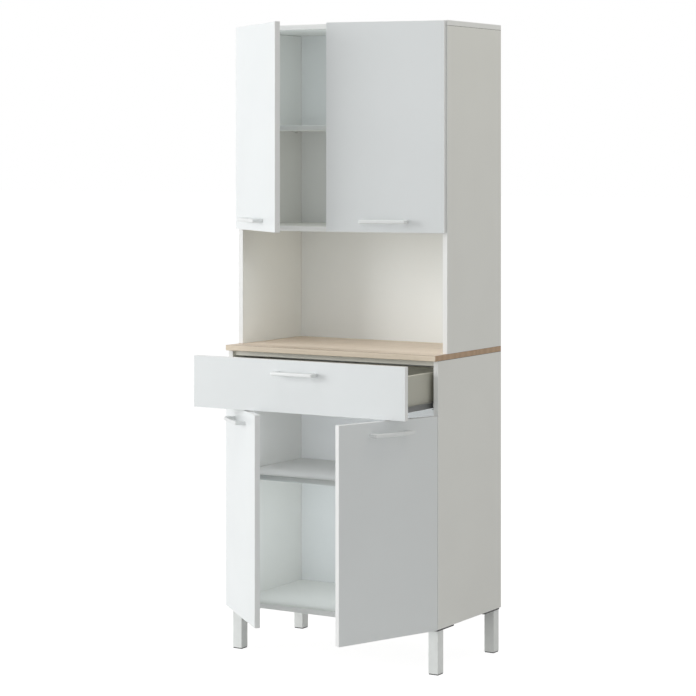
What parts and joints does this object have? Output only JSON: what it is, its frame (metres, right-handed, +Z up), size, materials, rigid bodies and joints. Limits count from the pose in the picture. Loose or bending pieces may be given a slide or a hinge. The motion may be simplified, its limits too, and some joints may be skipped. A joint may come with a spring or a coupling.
{
  "type": "microwave cabinet",
  "caption": "Tall free-standing kitchen cabinet on square legs: hinged doors and a drawer below a worktop, an open microwave niche, and hinged doors above.",
  "frame": {"origin": "on the floor, under the middle of the base unit's width and depth", "axes": "+Z up; -Y is the front with the doors and drawer; +Y is towards the wall; +X is to the right seen from the front"},
  "size_m": [0.72, 0.7236, 1.86],
  "materials": {
    "white_board": "white melamine foil on chipboard, satin",
    "oak_worktop": "pale oak decor on chipboard, matt",
    "white_front": "white melamine foil on chipboard, satin, with white edge band",
    "white_hardboard": "white lacquered hardboard",
    "drawer_board": "greige foil on chipboard",
    "satin_handle": "satin silver",
    "leg_paint": "silver-white lacquer",
    "black_plastic": "moulded black plastic",
    "hinge_steel": "nickel-plated pressed steel",
    "runner_steel": "lacquered pressed steel",
    "white_nylon": "moulded nylon",
    "zinc_screw": "zinc-plated",
    "beech_dowel": "bare beech"
  },
  "bodies": {
    "root": {"base_side_left": "white_board", "base_side_right": "white_board", "base_bottom": "white_board", "base_shelf": "white_board", "front_rail": "white_board", "rear_rail": "white_board", "base_back_panel": "white_hardboard", "worktop": "oak_worktop", "hutch_side_left": "white_board", "hutch_side_right": "white_board", "hutch_top": "white_board", "hutch_floor": "white_board", "hutch_shelf": "white_board", "hutch_back_panel": "white_hardboard", "leg_front_left": "leg_paint", "leg_front_right": "leg_paint", "leg_rear_left": "leg_paint", "leg_rear_right": "leg_paint", "leg_plates": "black_plastic", "leg_glides": "black_plastic", "leg_screws": "zinc_screw", "hinge_arms": "hinge_steel", "hinge_plates": "hinge_steel", "hinge_plate_screws": "zinc_screw", "shelf_pins": "zinc_screw", "cam_locks": "zinc_screw", "cam_bolts": "zinc_screw", "wood_dowels": "beech_dowel", "cabinet_runners": "runner_steel", "runner_screws": "zinc_screw"},
    "drawer": {"drawer_front": "white_front", "drawer_side_left": "drawer_board", "drawer_side_right": "drawer_board", "drawer_back": "drawer_board", "drawer_bottom": "white_hardboard", "drawer_handle": "satin_handle", "drawer_handle_screws": "zinc_screw", "drawer_runners": "runner_steel"},
    "front_rollers": {"front_rollers": "white_nylon"},
    "rear_rollers": {"rear_rollers": "white_nylon"},
    "upper_left_door": {"upper_left_door": "white_front", "upper_left_handle": "satin_handle", "upper_left_handle_screws": "zinc_screw", "upper_left_hinge_cups": "hinge_steel", "upper_left_hinge_pins": "hinge_steel"},
    "upper_right_door": {"upper_right_door": "white_front", "upper_right_handle": "satin_handle", "upper_right_handle_screws": "zinc_screw", "upper_right_hinge_cups": "hinge_steel", "upper_right_hinge_pins": "hinge_steel"},
    "lower_left_door": {"lower_left_door": "white_front", "lower_left_handle": "satin_handle", "lower_left_handle_screws": "zinc_screw", "lower_left_hinge_cups": "hinge_steel", "lower_left_hinge_pins": "hinge_steel"},
    "lower_right_door": {"lower_right_door": "white_front", "lower_right_handle": "satin_handle", "lower_right_handle_screws": "zinc_screw", "lower_right_hinge_cups": "hinge_steel", "lower_right_hinge_pins": "hinge_steel"}
  },
  "joints": [
    {"name": "upper_left_hinge", "type": "hinge", "parent": "root", "child": "upper_left_door", "pos_m": [-0.3492, -0.1482, 1.55], "axis": [0, 0, -1], "range_deg": [-37.6, 57.4]},
    {"name": "upper_right_hinge", "type": "hinge", "parent": "root", "child": "upper_right_door", "pos_m": [0.3492, -0.1482, 1.55], "axis": [0, 0, 1], "range_deg": [-13.4, 81.6]},
    {"name": "lower_left_hinge", "type": "hinge", "parent": "root", "child": "lower_left_door", "pos_m": [-0.3492, -0.2022, 0.4345], "axis": [0, 0, -1], "range_deg": [-42.3, 52.7]},
    {"name": "lower_right_hinge", "type": "hinge", "parent": "root", "child": "lower_right_door", "pos_m": [0.3492, -0.2022, 0.4345], "axis": [0, 0, 1], "range_deg": [-69.8, 25.2]},
    {"name": "drawer_slide", "type": "slide", "parent": "root", "child": "drawer", "axis": [0, -1, 0], "range_m": [-0.164, 0.096]},
    {"name": "front_rollers_turn", "type": "hinge", "parent": "root", "child": "front_rollers", "pos_m": [0, -0.176, 0.76532], "axis": [1, 0, 0], "range_deg": [-1305.6, 764.4]},
    {"name": "rear_rollers_turn", "type": "hinge", "parent": "drawer", "child": "rear_rollers", "pos_m": [0, -0.029, 0.76288], "axis": [1, 0, 0], "range_deg": [-1068.3, 625.5]}
  ],
  "couplings": [
    {"joint": "front_rollers_turn", "follows": "drawer_slide", "rad_per_m": 138.89},
    {"joint": "rear_rollers_turn", "follows": "drawer_slide", "rad_per_m": 113.64}
  ]
}
